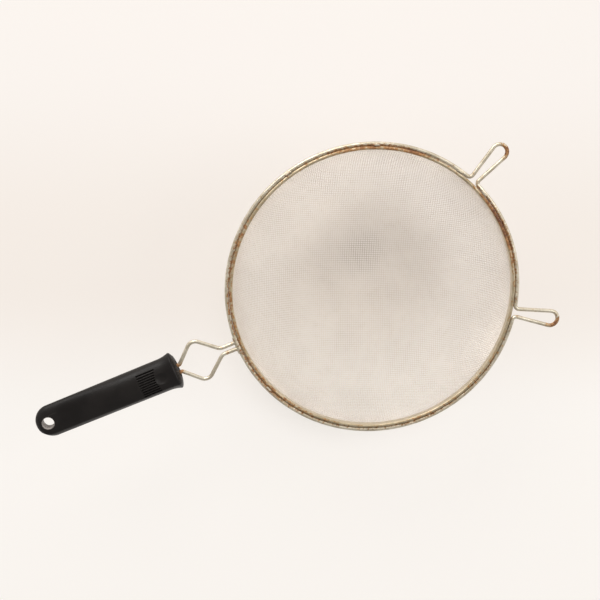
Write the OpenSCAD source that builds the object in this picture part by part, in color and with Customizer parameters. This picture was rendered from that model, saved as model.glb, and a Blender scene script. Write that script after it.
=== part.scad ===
// Kitchen strainer: a woven wire bowl held in a folded rim, one bent frame wire that makes the
// ring, the two rest ears and the diamond neck, and a soft grip moulded over a hard core.
// The origin is on the bowl's axis, in the plane that the underside of the frame wire rests on.
// +Z points out of the bowl's mouth, and the handle lies along -X.

/* [Bowl] */
// Diameter of the frame ring over its outside
ring_od = 208; // [150:1:260]
// Depth from the top of the rim to the lowest outside point of the mesh
bowl_depth = 82; // [72:1:95]
// Radius of the curve between the bowl's wall and its bottom
shoulder_r = 60; // [52:1:64]
// Height of the straight mesh wall that shows below the rim
wall_h = 3; // [1:0.5:8]
// Thickness of the wire cloth over its crossings
mesh_t = 0.8; // [0.6:0.1:1.1]

/* [Rim] */
// Thickness of the folded rim sheet
rim_sheet_t = 0.6; // [0.4:0.05:0.8]
// Clearance between the wire cloth and each leg of the folded rim
mesh_gap = 0.3; // [0.15:0.05:0.4]
// Height of the folded rim
rim_h = 5.4; // [4.6:0.1:8]
// Height of the rim's top over the centre of the frame wire
rim_rise = 1.8; // [0.8:0.1:2.4]
// Diameter of the wire that stiffens the fold
core_wire_d = 1; // [0.8:0.1:1.2]
// Clearance between the frame wire and the outside of the rim
rim_gap = 0.1; // [0.05:0.05:0.3]

/* [Frame wire] */
// Diameter of the frame wire
wire_d = 2.8; // [2.2:0.1:3.6]
// Inside radius of each sharp bend where the wire leaves the ring
foot_bend_r = 1.4; // [0.8:0.1:3]

/* [Rest ears] */
// Direction of the upper ear, seen from above, counted from +X
ear_a_angle = 26.4; // [15:0.1:45]
// Direction of the lower ear
ear_b_angle = -31.7; // [-45:0.1:-15]
// Reach of each ear beyond the outside of the ring
ear_reach = 32; // [24:0.5:45]
// Width of the round end of each ear over its outside
ear_w = 13.4; // [11:0.2:18]
// Distance between the centres of an ear's two legs at the ring
ear_foot_pitch = 5.2; // [4.4:0.1:7]

/* [Neck] */
// Distance from the outside of the ring to the front of the grip
neck_len = 42.8; // [38:0.5:60]
// Distance between the centres of the two legs where they leave the ring
neck_pitch = 4.6; // [4.2:0.1:6]
// Distance from the outside of the ring to where the legs begin to spread
pinch_len = 11; // [9:0.5:13]
// Distance from the outside of the ring to the widest place of the diamond
peak_len = 27.4; // [24:0.5:30]
// Width of the diamond between the sharp corners of its centre line
diamond_w = 32.8; // [26:0.2:40]
// Centre line radius of the bends at the pinch
pinch_bend_r = 6; // [4:0.5:8]
// Centre line radius of the bends at the widest place
peak_bend_r = 6; // [3:0.5:8]

/* [Grip] */
// Length of the grip
grip_len = 108.4; // [90:0.2:140]
// Width of the grip at its tail
grip_w = 23.4; // [20:0.2:30]
// Width of the grip just behind the flare
waist_w = 24.4; // [21:0.2:30]
// Width of the grip over the flare
collar_w = 27.6; // [26:0.2:36]
// Length of the flare
flare_len = 8.5; // [6:0.5:14]
// Length of the domed front
dome_len = 3.5; // [2.5:0.5:6]
// Thickness of the grip in the palm
grip_t = 17.4; // [15:0.2:24]
// Thickness of the grip at the finger fins
waist_t = 16; // [15:0.2:22]
// Thickness of the grip over the flare
collar_t = 19; // [17:0.2:26]
// Thickness of the tail round the hanging hole
tail_t = 9.6; // [7:0.2:13]

/* [Hanging hole] */
// Diameter of the hanging hole
hang_d = 8.3; // [5:0.1:11]
// Distance from the end of the tail to the centre of the hanging hole
hang_inset = 9.1; // [8.5:0.1:14]
// Width of the rounding at the mouths of the hanging hole
hang_chamfer = 0.5; // [0.2:0.1:0.8]

/* [Finger fins] */
// Number of slots on each face
slot_count = 10; // [6:1:12]
// Distance between slots
slot_pitch = 1.75; // [1.5:0.05:2]
// Width of each slot
slot_w = 0.8; // [0.5:0.05:1]
// Depth of each slot
slot_depth = 1.6; // [0.8:0.1:2.2]
// Distance from the front of the grip to the slots beside the thumb dimple
slot_front = 15.6; // [15:0.2:22]
// Length of the outermost slots
slot_len = 13.6; // [10:0.2:20]
// Radius of the ball that the thumb dimple is cut with
dimple_r = 8; // [7:0.5:12]
// Depth of the thumb dimple
dimple_depth = 1.3; // [0.6:0.1:1.6]

/* [Core] */
// Width of the hard core inside the grip
core_w = 13; // [12:0.2:15]
// Thickness of the hard core
core_t = 6.4; // [5.6:0.2:8]
// Length of the hard core
core_len = 66; // [50:1:78]
// Distance between the centres of the two wire ends inside the core
tang_pitch = 5.2; // [4.6:0.1:6]
// Length of wire held inside the grip and the core
tang_len = 56; // [40:1:60]
// Distance in front of the grip at which the legs bend to enter it
tang_show = 1.2; // [1:0.1:3]
// Clearance round the core and round the wire ends
core_gap = 0.2; // [0.1:0.05:0.3]

/* [Hidden] */
$fn = 160;

mesh_color = [0.72, 0.70, 0.67];
steel_color = [0.62, 0.57, 0.48];
weld_color = [0.66, 0.65, 0.62];
core_color = [0.16, 0.16, 0.16];
grip_color = [0.10, 0.10, 0.10];

// Ring and rim
wire_r = wire_d / 2;
ring_r = ring_od / 2 - wire_r;
wire_z = wire_r;
rim_w = mesh_t + 2 * (mesh_gap + rim_sheet_t);
rim_out_r = ring_r - wire_r - rim_gap;
rim_mid_r = rim_out_r - rim_w / 2;
rim_top = wire_z + rim_rise;
fold_z = rim_top - rim_w / 2;
rim_bottom = rim_top - rim_h;

// Bowl: a straight wall, a shoulder arc and a bottom arc, each tangent to the next
mesh_out_r = rim_mid_r + mesh_t / 2;
mesh_top = fold_z - core_wire_d / 2 - mesh_gap;
shoulder_z = rim_bottom - wall_h;
bowl_bottom = rim_top - bowl_depth;
shoulder_c = mesh_out_r - shoulder_r;
arc_drop = shoulder_z - bowl_bottom;
// Height of the bottom arc's center over the shoulder arc's
bottom_lift = (pow(shoulder_c, 2) - pow(arc_drop - shoulder_r, 2)) / (2 * (arc_drop - shoulder_r));
bottom_r = arc_drop + bottom_lift;
// Direction in which the shoulder arc hands over to the bottom arc, below the horizontal
blend_angle = atan2(bottom_lift, shoulder_c);

// Where a leg meets the ring: a bend of centre line radius foot_r that touches both
foot_r = foot_bend_r + wire_r;

// Ear: its legs run from the ring to the round end, which they touch
ear_end_r = ear_w / 2 - wire_r;
ear_end_u = ring_od / 2 + ear_reach - wire_r - ear_end_r;
ear_run = ear_end_u - ring_r;
ear_spread = asin(ear_end_r / norm([ear_run, ear_foot_pitch / 2]))
             - atan2(ear_foot_pitch / 2, ear_run);
ear_offset = ear_end_r - ear_end_u * sin(ear_spread);

// Neck: corners of one leg's centre line, as distance from the bowl's axis and from the middle
grip_front = ring_od / 2 + neck_len;
tang_start = grip_front - tang_show;
leg_corners = [
    [ring_od / 2 + pinch_len, neck_pitch / 2],
    [ring_od / 2 + peak_len, diamond_w / 2],
    [tang_start, tang_pitch / 2],
    [grip_front + tang_len, tang_pitch / 2]
];
tang_bend_r = 2.6;
leg_radii = [pinch_bend_r, peak_bend_r, tang_bend_r];

// Facets of the wire: sides of its section, and degrees between sections
wire_sides = 12;
ring_step = 4;
bend_step = 12;

// Welds: the fillets of metal between the ring and the rim
weld_angles = [-158, -112, -72, ear_b_angle - 6.5, ear_b_angle + 6.5, ear_a_angle - 6.5,
               ear_a_angle + 6.5, 68, 104, 140, 168];
weld_span = 2.6;
weld_bead_r = 1.1;
weld_clear = 0.05;
neck_bead_r = 1.9;
neck_bead_half = 3.4;

// Grip: sections from its front to its tail
grip_round = grip_w / 2;
section_power = 2.5;
section_points = 48;
tail_soft = 5;
thick_from = 0.34;
thick_to = 0.80;
grip_stations = concat(
    [for (a = [14 : 15.2 : 90]) dome_len * (1 - cos(a))],
    [for (i = [1 : 5]) dome_len + flare_len * i / 5],
    [for (i = [1 : 12]) lerp(dome_len + flare_len, grip_len - grip_round, i / 12)],
    [for (a = [14 : 12 : 86]) grip_len - grip_round + grip_round * sin(a)]
);
slot_reach = (slot_count - 1) * slot_pitch / 2;
dimple_x = slot_front - 2.2;
slot_bow = 2.4;
core_inset = 1;

function lerp(a, b, t) = a + (b - a) * t;
function clamp01(t) = min(1, max(0, t));
function smooth(t) = clamp01(t) * clamp01(t) * (3 - 2 * clamp01(t));
function unit(v) = v / norm(v);
function heading(v) = atan2(v[1], v[0]);
function turned_left(v) = [-v[1], v[0]];

// Half width of the grip at a distance from its front
function grip_half_w(x) =
    x < dome_len ? collar_w / 2 * sqrt(1 - pow(1 - x / dome_len, 2))
    : x < dome_len + flare_len
    ? waist_w / 2 + (collar_w - waist_w) / 2 * pow(1 - (x - dome_len) / flare_len, 2)
    : x < grip_len - grip_round
    ? lerp(waist_w, grip_w, (x - dome_len - flare_len)
           / (grip_len - grip_round - dome_len - flare_len)) / 2
    : sqrt(max(0, pow(grip_round, 2) - pow(x - grip_len + grip_round, 2)));

// Thickness of the grip between its flare and its tail
function grip_body_t(x) =
    let (palm = lerp(waist_t, grip_t, smooth((x / grip_len - 0.1) / 0.25)))
    lerp(palm, tail_t, smooth((x / grip_len - thick_from) / (thick_to - thick_from)));

// Half thickness of the grip at a distance from its front
function grip_half_t(x) =
    x < dome_len ? collar_t / 2 * sqrt(1 - pow(1 - x / dome_len, 2))
    : x < dome_len + flare_len
    ? lerp(grip_body_t(x), collar_t, pow(1 - (x - dome_len) / flare_len, 2)) / 2
    : x < grip_len - tail_soft ? grip_body_t(x) / 2
    : grip_body_t(x) / 2 * sqrt(max(0, 1 - pow((x - grip_len + tail_soft) / tail_soft, 2)));

// Height of the grip's face over its middle plane
function grip_face(x, y) =
    grip_half_t(x) * pow(1 - pow(min(1, abs(y) / grip_half_w(x)), section_power),
                         1 / section_power);

function signed_power(v, p) = sign(v) * pow(abs(v), p);

function grip_section(x) = [
    for (i = [0 : section_points - 1])
        let (a = 360 * i / section_points)
        [x,
         grip_half_w(x) * signed_power(cos(a), 2 / section_power),
         grip_half_t(x) * signed_power(sin(a), 2 / section_power)]
];

// One slot's distance from the front: the middle ones stop short of the thumb dimple
function slot_start(y) = slot_front + slot_bow * (1 - pow(y / (slot_reach + slot_pitch), 2));

// Points of the wire's centre line, each with the heading of the wire there.
// An arc runs about its center from one position angle to another, either way round.
function arc_path(center, radius, from, to, step) =
    let (n = ceil(abs(to - from) / step), ahead = to > from ? 90 : -90)
    [for (i = [0 : n]) let (a = lerp(from, to, i / n))
        [center[0] + radius * cos(a), center[1] + radius * sin(a), a + ahead]];

// The same wire seen in a mirror across the X axis and followed the other way
function mirrored(path) =
    [for (i = [len(path) - 1 : -1 : 0]) [path[i][0], -path[i][1], 180 - path[i][2]]];

function turned(path, angle) =
    [for (p = path) [p[0] * cos(angle) - p[1] * sin(angle),
                     p[0] * sin(angle) + p[1] * cos(angle), p[2] + angle]];

// Centre of the bend between the ring and a leg that runs at the angle spread to the radius.
// The leg's centre line passes the bowl's axis at the distance offset.
function foot_center(spread, offset) =
    let (along = [cos(spread), sin(spread)], side = offset + foot_r)
    along * sqrt(pow(ring_r + foot_r, 2) - pow(side, 2)) + turned_left(along) * side;

function foot_half_angle(spread, offset) = heading(foot_center(spread, offset));

function foot_path(spread, offset) =
    arc_path(foot_center(spread, offset), foot_r, 180 + foot_half_angle(spread, offset),
             270 + spread, bend_step);

// Bend at one inner corner of a run of straight stretches
function corner_path(p, i, radius) =
    let (
        along = unit(p[i] - p[i - 1]),
        turn = heading(p[i + 1] - p[i]) - heading(along),
        inner = turned_left(along) * sign(turn),
        center = p[i] - along * radius * tan(abs(turn) / 2) + inner * radius,
        start = heading(-inner)
    )
    arc_path(center, radius, start, start + turn, bend_step);

// One leg of the neck, from its foot on the ring to its end inside the core, drawn along +X
function leg_path() =
    let (
        foot = foot_path(0, neck_pitch / 2),
        last = foot[len(foot) - 1],
        corners = concat([[last[0], last[1]]], leg_corners)
    )
    concat(foot, [for (i = [1 : len(leg_radii)]) each corner_path(corners, i, leg_radii[i - 1])],
           [[leg_corners[len(leg_radii)][0], leg_corners[len(leg_radii)][1], 0]]);

// One ear on +X, from the ring round its end and back to the ring
function ear_path() =
    let (side = foot_path(ear_spread, ear_offset))
    concat(side, arc_path([ear_end_u, 0], ear_end_r, 90 + ear_spread, -90 - ear_spread, bend_step),
           mirrored(side));

function ring_path(from, to) = arc_path([0, 0], ring_r, from, to, ring_step);

// A stretch without its two ends, which its neighbours already hold
function inner_points(path) = [for (i = [1 : len(path) - 2]) path[i]];

// Round wire swept along a path
module wire_along(path, d) {
    n = wire_sides;
    m = len(path);
    points = [for (p = path) for (i = [0 : n - 1])
        let (a = 360 * i / n, side = d / 2 * cos(a))
        [p[0] - side * sin(p[2]), p[1] + side * cos(p[2]), d / 2 * sin(a)]];
    faces = concat(
        [[for (i = [0 : n - 1]) i]],
        [for (k = [0 : m - 2]) for (i = [0 : n - 1])
            [k * n + i, (k + 1) * n + i, (k + 1) * n + (i + 1) % n]],
        [for (k = [0 : m - 2]) for (i = [0 : n - 1])
            [k * n + i, (k + 1) * n + (i + 1) % n, k * n + (i + 1) % n]],
        [[for (i = [n - 1 : -1 : 0]) (m - 1) * n + i]]
    );
    polyhedron(points = points, faces = faces, convexity = 6);
}

// The single bent wire, followed from one end in the core, clockwise round the ring with its
// two ears, to the other end
module frame_wire() {
    ear_half = foot_half_angle(ear_spread, ear_offset);
    neck_half = foot_half_angle(0, neck_pitch / 2);
    leg = leg_path();
    path = concat(
        turned(mirrored(leg), 180),
        inner_points(ring_path(180 - neck_half, ear_a_angle + ear_half)),
        turned(ear_path(), ear_a_angle),
        inner_points(ring_path(ear_a_angle - ear_half, ear_b_angle + ear_half)),
        turned(ear_path(), ear_b_angle),
        inner_points(ring_path(ear_b_angle - ear_half, neck_half - 180)),
        turned(leg, 180)
    );
    color(steel_color)
        translate([0, 0, wire_z])
            wire_along(path, wire_d);
}

// Part of a flat ring between two headings, for the bowl's outline
module arc_strip(r, from, to) {
    reach = 2 * r;
    intersection() {
        difference() {
            circle(r = r);
            circle(r = r - mesh_t);
        }
        polygon([
            [0, 0],
            reach * [cos(from), sin(from)],
            reach * [cos((from + to) / 2), sin((from + to) / 2)],
            reach * [cos(to), sin(to)]
        ]);
    }
}

// Woven wire cloth pressed into a bowl, as one wall of its overall thickness
module mesh_bowl() {
    color(mesh_color)
        rotate_extrude()
            union() {
                translate([mesh_out_r - mesh_t, shoulder_z])
                    square([mesh_t, mesh_top - shoulder_z]);
                translate([shoulder_c, shoulder_z])
                    arc_strip(shoulder_r, -blend_angle, 0);
                translate([0, bowl_bottom + bottom_r])
                    arc_strip(bottom_r, -90, -blend_angle);
            }
}

// Sheet folded over the edge of the wire cloth, open downwards
module rim_band() {
    leg_h = fold_z - rim_bottom;
    color(steel_color)
        rotate_extrude()
            translate([rim_mid_r, 0])
                difference() {
                    union() {
                        translate([0, fold_z]) circle(d = rim_w, $fn = 64);
                        translate([-rim_w / 2, rim_bottom]) square([rim_w, leg_h]);
                    }
                    translate([0, fold_z]) circle(d = rim_w - 2 * rim_sheet_t, $fn = 64);
                    translate([rim_sheet_t - rim_w / 2, rim_bottom - 1])
                        square([rim_w - 2 * rim_sheet_t, leg_h + 1]);
                }
}

// Wire hoop inside the fold
module rim_core_wire() {
    color(steel_color)
        translate([0, 0, fold_z])
            rotate_extrude()
                translate([rim_mid_r, 0])
                    circle(d = core_wire_d, $fn = 64);
}

// Outline of the metal that fills the crevice between the ring and the rim
module crevice(bead_r, up) {
    difference() {
        translate([rim_out_r + bead_r * 0.75, up * wire_r * 0.8]) circle(r = bead_r);
        translate([ring_r, 0]) circle(r = wire_r + weld_clear);
        translate([rim_out_r + weld_clear - 2 * bead_r, -2 * wire_d])
            square([2 * bead_r, 4 * wire_d]);
    }
}

// Short weld beads that hold the ring to the rim
module rim_welds() {
    color(weld_color)
        for (a = weld_angles)
            translate([0, 0, wire_z])
                rotate([0, 0, a - weld_span / 2])
                    rotate_extrude(angle = weld_span)
                        crevice(weld_bead_r, 1);
}

// The foot of a neck leg with a little of the ring before it and of the leg after it
function neck_foot_path() =
    let (half = foot_half_angle(0, neck_pitch / 2), foot = foot_path(0, neck_pitch / 2))
    concat(inner_points(ring_path(half + 3 * ring_step, half)), foot,
           [[ring_r + pinch_len / 2, neck_pitch / 2, 0]]);

// Solder that fills the gap between the two feet of the neck
module neck_weld() {
    color(weld_color)
        translate([0, 0, wire_z])
            difference() {
                rotate([0, 0, 180 - neck_bead_half])
                    rotate_extrude(angle = 2 * neck_bead_half)
                        difference() {
                            translate([ring_r, 0]) circle(r = neck_bead_r);
                            translate([rim_out_r + weld_clear - 2 * neck_bead_r, -wire_d])
                                square([2 * neck_bead_r, 2 * wire_d]);
                        }
                for (side = [0, 1])
                    mirror([0, side, 0])
                        rotate([0, 0, 180])
                            wire_along(neck_foot_path(), wire_d + 2 * weld_clear);
            }
}

// Puts what is drawn from the front of the grip, along +X to its tail, on the handle
module on_handle() {
    translate([-grip_front, 0, wire_z])
        rotate([0, 0, 180])
            children();
}

// Round holes for the two wire ends, from the front of the grip
module tang_holes() {
    for (side = [-1, 1])
        translate([-tang_show, side * tang_pitch / 2, 0])
            rotate([0, 90, 0])
                cylinder(d = wire_d + 2 * core_gap, h = tang_show + tang_len + core_gap);
}

// Outline of the core across the handle
module core_bar(grow, from, to) {
    w = core_w + 2 * grow;
    t = core_t + 2 * grow;
    translate([from, 0, 0])
        rotate([90, 0, 90])
            linear_extrude(height = to - from)
                union() {
                    square([w - t, t], center = true);
                    translate([(w - t) / 2, 0]) circle(d = t);
                    translate([(t - w) / 2, 0]) circle(d = t);
                }
}

// Hard core that the two wire ends are moulded into
module handle_core() {
    color(core_color)
        on_handle()
            difference() {
                core_bar(0, core_inset, core_len);
                tang_holes();
            }
}

// Smooth body of the grip, without its cuts
module grip_body() {
    n = section_points;
    m = len(grip_stations);
    points = concat(
        [[0, 0, 0]],
        [for (x = grip_stations) each grip_section(x)],
        [[grip_len, 0, 0]]
    );
    faces = concat(
        [for (i = [0 : n - 1]) [0, 1 + i, 1 + (i + 1) % n]],
        [for (k = [0 : m - 2]) for (i = [0 : n - 1])
            [1 + k * n + i, 1 + (k + 1) * n + i, 1 + (k + 1) * n + (i + 1) % n]],
        [for (k = [0 : m - 2]) for (i = [0 : n - 1])
            [1 + k * n + i, 1 + (k + 1) * n + (i + 1) % n, 1 + k * n + (i + 1) % n]],
        [for (i = [0 : n - 1])
            [1 + m * n, 1 + (m - 1) * n + (i + 1) % n, 1 + (m - 1) * n + i]]
    );
    polyhedron(points = points, faces = faces, convexity = 4);
}

// Slots that leave the finger fins standing, on the face that side points to
module fin_slots(side) {
    for (k = [0 : slot_count - 1]) {
        y = k * slot_pitch - slot_reach;
        from = slot_start(y);
        to = slot_front + slot_len;
        floor_z = grip_face((from + to) / 2, y) - slot_depth;
        mirror([0, 0, side < 0 ? 1 : 0])
            translate([0, y, floor_z])
                linear_extrude(height = collar_t / 2)
                    union() {
                        translate([from, -slot_w / 2]) square([to - from, slot_w]);
                        translate([from, 0]) circle(d = slot_w, $fn = 16);
                        translate([to, 0]) circle(d = slot_w, $fn = 16);
                    }
    }
}

// Shallow round dimple in front of the fins
module thumb_dimple(side) {
    translate([dimple_x, 0, side * (grip_face(dimple_x, 0) + dimple_r - dimple_depth)])
        sphere(r = dimple_r);
}

// Hanging hole with eased mouths
module hang_hole() {
    translate([grip_len - hang_inset, 0, 0]) {
        cylinder(d = hang_d, h = 2 * tail_t, center = true);
        for (side = [-1, 1])
            mirror([0, 0, side < 0 ? 1 : 0])
                translate([0, 0, tail_t / 2 - hang_chamfer])
                    cylinder(r1 = hang_d / 2, r2 = hang_d / 2 + 2 * hang_chamfer,
                             h = 2 * hang_chamfer);
    }
}

// Soft grip moulded over the core
module handle_grip() {
    color(grip_color)
        on_handle()
            difference() {
                grip_body();
                core_bar(core_gap, -1, core_len + core_gap);
                hang_hole();
                for (side = [-1, 1]) {
                    fin_slots(side);
                    thumb_dimple(side);
                }
            }
}

mesh_bowl();
rim_band();
rim_core_wire();
frame_wire();
rim_welds();
neck_weld();
handle_core();
handle_grip();
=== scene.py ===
import math

import bpy
import numpy as np
from mathutils import Matrix, Vector, noise


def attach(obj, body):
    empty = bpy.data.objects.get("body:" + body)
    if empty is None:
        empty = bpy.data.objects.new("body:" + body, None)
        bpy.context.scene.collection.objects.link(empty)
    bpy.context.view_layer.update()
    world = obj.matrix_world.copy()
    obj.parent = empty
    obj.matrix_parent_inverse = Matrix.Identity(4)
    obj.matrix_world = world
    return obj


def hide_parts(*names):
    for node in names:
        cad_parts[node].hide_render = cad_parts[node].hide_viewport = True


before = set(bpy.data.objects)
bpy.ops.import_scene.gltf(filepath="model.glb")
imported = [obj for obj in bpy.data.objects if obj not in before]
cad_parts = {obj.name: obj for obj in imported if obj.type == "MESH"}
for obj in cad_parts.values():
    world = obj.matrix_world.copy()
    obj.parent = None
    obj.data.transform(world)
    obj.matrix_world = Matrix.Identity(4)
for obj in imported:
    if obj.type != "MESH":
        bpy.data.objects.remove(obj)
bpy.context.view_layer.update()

MM = 0.001

# Sizes, in mm, as in the part's source
RING_OD, WIRE_D, RIM_GAP = 208.0, 2.8, 0.1
WIRE_R = WIRE_D / 2
WIRE_Z = WIRE_R
RING_R = RING_OD / 2 - WIRE_R
MESH_T, MESH_GAP, SHEET_T, RIM_H, RIM_RISE, CORE_D = 0.8, 0.3, 0.6, 5.4, 1.8, 1.0
RIM_W = MESH_T + 2 * (MESH_GAP + SHEET_T)
RIM_OUT = RING_R - WIRE_R - RIM_GAP
RIM_MID = RIM_OUT - RIM_W / 2
RIM_TOP = WIRE_Z + RIM_RISE
FOLD_Z = RIM_TOP - RIM_W / 2
RIM_BOTTOM = RIM_TOP - RIM_H
BOWL_DEPTH, SHOULDER_R, WALL_H = 82.0, 60.0, 3.0
MESH_OUT = RIM_MID + MESH_T / 2
MESH_TOP = FOLD_Z - CORE_D / 2 - MESH_GAP
SHOULDER_Z = RIM_BOTTOM - WALL_H
BOWL_BOTTOM = RIM_TOP - BOWL_DEPTH
SHOULDER_C = MESH_OUT - SHOULDER_R
ARC_DROP = SHOULDER_Z - BOWL_BOTTOM
LIFT = (SHOULDER_C ** 2 - (ARC_DROP - SHOULDER_R) ** 2) / (2 * (ARC_DROP - SHOULDER_R))
BOTTOM_R = ARC_DROP + LIFT
BLEND = math.atan2(LIFT, SHOULDER_C)

FOOT_R = 1.4 + WIRE_R
EAR_ANGLES = (26.4, -31.7)
EAR_END_R = 13.4 / 2 - WIRE_R
EAR_END_U = RING_OD / 2 + 32 - WIRE_R - EAR_END_R
EAR_PITCH = 5.2
EAR_RUN = EAR_END_U - RING_R
EAR_SPREAD = math.degrees(math.asin(EAR_END_R / math.hypot(EAR_RUN, EAR_PITCH / 2))
                          - math.atan2(EAR_PITCH / 2, EAR_RUN))
EAR_OFFSET = EAR_END_R - EAR_END_U * math.sin(math.radians(EAR_SPREAD))

NECK_LEN, NECK_PITCH, TANG_PITCH, TANG_SHOW, TANG_LEN = 42.8, 4.6, 5.2, 1.2, 56.0
GRIP_FRONT = RING_OD / 2 + NECK_LEN
LEG_CORNERS = [(RING_OD / 2 + 11, NECK_PITCH / 2), (RING_OD / 2 + 27.4, 32.8 / 2),
               (GRIP_FRONT - TANG_SHOW, TANG_PITCH / 2), (GRIP_FRONT + TANG_LEN, TANG_PITCH / 2)]
LEG_RADII = [6.0, 6.0, 2.6]

GRIP_LEN, GRIP_W, WAIST_W, COLLAR_W, FLARE, DOME = 108.4, 23.4, 24.4, 27.6, 8.5, 3.5
GRIP_T, WAIST_T, COLLAR_T, TAIL_T, TAIL_SOFT = 17.4, 16.0, 19.0, 9.6, 5.0
THICK_FROM, THICK_TO, POWER = 0.34, 0.80, 2.5
HANG_D, HANG_INSET = 8.3, 9.1
SLOTS, SLOT_PITCH, SLOT_W, SLOT_DEPTH = 10, 1.75, 0.8, 1.6
SLOT_FRONT, SLOT_LEN, SLOT_BOW = 15.6, 13.6, 2.4
DIMPLE_R, DIMPLE_DEPTH, DIMPLE_AHEAD = 8.0, 1.3, 2.2
CORE_W, CORE_T, CORE_GAP, CORE_REACH = 13.0, 6.4, 0.2, 66.2

# Woven cloth: distance between wires, their diameter, and the turn of the weave from the handle
PITCH, CLOTH_WIRE, WEAVE_TURN = 1.7, 0.38, -23.4
# wires to each side of the middle one, enough to reach the rim
WIRES_PER_HALF = 104
# middle of the painted shade, a dark brownish patch on the bowl's bottom, in metres
PAINTED_SHADE_AT = (0.007, 0.009)

# Camera of the photograph, fitted to the ring's ellipse and the handle (metres, part's frame)
CAM_POS = (-0.035779, 0.222223, 0.849934)
CAM_RIGHT = (0.926792, -0.368, 0.075049)
CAM_DOWN = (-0.37522, -0.898553, 0.227625)
CAM_FORWARD = (-0.01633, -0.239121, -0.970852)
LENS, SENSOR = 75.0, 36.0


# Camera
def make_camera():
    data = bpy.data.cameras.new("camera")
    data.lens = LENS
    data.sensor_width = SENSOR
    data.sensor_fit = "HORIZONTAL"
    data.clip_start = 0.01
    data.clip_end = 20
    cam = bpy.data.objects.new("camera", data)
    bpy.context.scene.collection.objects.link(cam)
    right, up, back = Vector(CAM_RIGHT), -Vector(CAM_DOWN), -Vector(CAM_FORWARD)
    m = Matrix((right, up, back)).transposed().to_4x4()
    m.translation = Vector(CAM_POS)
    cam.matrix_world = m
    bpy.context.scene.camera = cam


make_camera()


# Mesh helpers
def lerp(a, b, t):
    return a + (b - a) * t


def smooth(t):
    t = np.clip(t, 0.0, 1.0)
    return t * t * (3 - 2 * t)


def make_object(name, verts, faces, material=None):
    """An object from points in mm and faces (an array of quads, or a list of any faces)."""
    me = bpy.data.meshes.new(name)
    v = np.asarray(verts, dtype=np.float64) * MM
    if isinstance(faces, np.ndarray):
        n, k = faces.shape
        me.vertices.add(len(v))
        me.vertices.foreach_set("co", v.astype(np.float32).ravel())
        me.loops.add(n * k)
        me.loops.foreach_set("vertex_index", faces.astype(np.int32).ravel())
        me.polygons.add(n)
        me.polygons.foreach_set("loop_start", np.arange(0, n * k, k, dtype=np.int32))
        me.update(calc_edges=True)
    else:
        me.from_pydata([tuple(p) for p in v], [], faces)
    me.validate()
    me.shade_smooth()
    ob = bpy.data.objects.new(name, me)
    bpy.context.scene.collection.objects.link(ob)
    if material:
        me.materials.append(material)
    return ob


def grid_faces(rows, cols, first=0, close_rows=False, close_cols=True):
    """Quads of a grid of points stored row by row."""
    r = np.arange(rows if close_rows else rows - 1)
    c = np.arange(cols if close_cols else cols - 1)
    R, C = np.meshgrid(r, c, indexing="ij")
    R2, C2 = (R + 1) % rows, (C + 1) % cols
    f = np.stack([R * cols + C, R2 * cols + C, R2 * cols + C2, R * cols + C2], -1)
    return f.reshape(-1, 4) + first


def paint(ob, name, values):
    """A number per point, which the materials read."""
    a = ob.data.attributes.new(name, "FLOAT", "POINT")
    a.data.foreach_set("value", np.asarray(values, dtype=np.float32))


def points_of(ob):
    """Its points, in its own metres."""
    co = np.empty(len(ob.data.vertices) * 3, dtype=np.float32)
    ob.data.vertices.foreach_get("co", co)
    return co.reshape(-1, 3)


# Route of the frame wire
def arc_path(center, radius, a0, a1, step):
    n = max(1, math.ceil(abs(a1 - a0) / step - 1e-9))
    ahead = 90 if a1 > a0 else -90
    out = []
    for i in range(n + 1):
        a = lerp(a0, a1, i / n)
        out.append((center[0] + radius * math.cos(math.radians(a)),
                    center[1] + radius * math.sin(math.radians(a)), a + ahead))
    return out


def mirrored(path):
    return [(x, -y, 180 - h) for x, y, h in reversed(path)]


def turned(path, angle):
    c, s = math.cos(math.radians(angle)), math.sin(math.radians(angle))
    return [(x * c - y * s, x * s + y * c, h + angle) for x, y, h in path]


def foot_center(spread, offset):
    along = np.array([math.cos(math.radians(spread)), math.sin(math.radians(spread))])
    side = offset + FOOT_R
    return along * math.sqrt((RING_R + FOOT_R) ** 2 - side ** 2) + np.array([-along[1], along[0]]) * side


def foot_half(spread, offset):
    c = foot_center(spread, offset)
    return math.degrees(math.atan2(c[1], c[0]))


def foot_path(spread, offset, step=10):
    return arc_path(foot_center(spread, offset), FOOT_R, 180 + foot_half(spread, offset),
                    270 + spread, step)


def heading(v):
    return math.degrees(math.atan2(v[1], v[0]))


def corner_path(p, i, radius, step=6):
    a, b, c = (np.array(q, float) for q in p[i - 1:i + 2])
    along = (b - a) / np.linalg.norm(b - a)
    turn = heading(c - b) - heading(along)
    inner = np.array([-along[1], along[0]]) * math.copysign(1, turn)
    center = b - along * radius * math.tan(math.radians(abs(turn) / 2)) + inner * radius
    start = heading(-inner)
    return arc_path(center, radius, start, start + turn, step)


def leg_path():
    foot = foot_path(0, NECK_PITCH / 2)
    corners = [foot[-1][:2]] + LEG_CORNERS
    out = list(foot)
    for i in range(1, len(LEG_RADII) + 1):
        out += corner_path(corners, i, LEG_RADII[i - 1])
    return out + [(LEG_CORNERS[-1][0], LEG_CORNERS[-1][1], 0)]


def ear_path():
    side = foot_path(EAR_SPREAD, EAR_OFFSET)
    return side + arc_path((EAR_END_U, 0), EAR_END_R, 90 + EAR_SPREAD, -90 - EAR_SPREAD, 8) + mirrored(side)


def ring_path(a0, a1):
    return arc_path((0, 0), RING_R, a0, a1, 1.5)[1:-1]


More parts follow.
